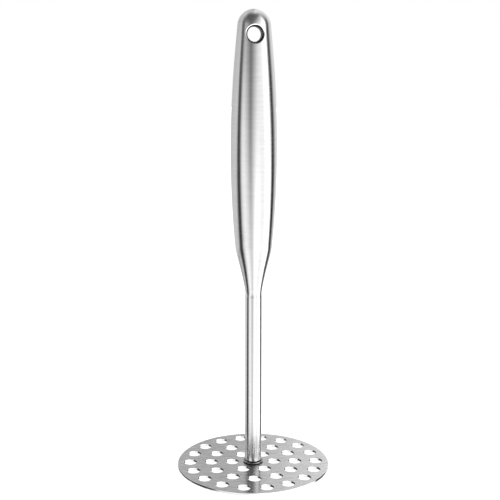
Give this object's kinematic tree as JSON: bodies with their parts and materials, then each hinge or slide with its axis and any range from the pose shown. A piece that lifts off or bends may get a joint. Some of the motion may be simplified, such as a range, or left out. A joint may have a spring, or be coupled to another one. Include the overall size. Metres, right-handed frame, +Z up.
{
  "type": "potato masher",
  "caption": "Hand masher with a round perforated steel plate on a straight tube shaft and a hollow, swelling round grip with a hanging hole.",
  "frame": {"origin": "centre of the plate's underside, on the axis of the shaft", "axes": "+Z up the shaft towards the grip's domed end; +Y along the hanging hole; +X to the right when the hanging hole faces the viewer"},
  "size_m": [0.085, 0.085, 0.2512],
  "materials": {
    "plate_steel": "satin, grained in one direction",
    "ring_steel": "polished",
    "shaft_steel": "satin, near polished",
    "weld_steel": "ground and polished",
    "grip_steel": "satin",
    "ferrule_steel": "polished rim, dull bore"
  },
  "bodies": {
    "root": {"masher_plate": "plate_steel", "foot_ring": "ring_steel", "shaft_tube": "shaft_steel", "neck_weld": "weld_steel", "grip_shell": "grip_steel", "hanging_ferrule": "ferrule_steel"}
  },
  "joints": []
}
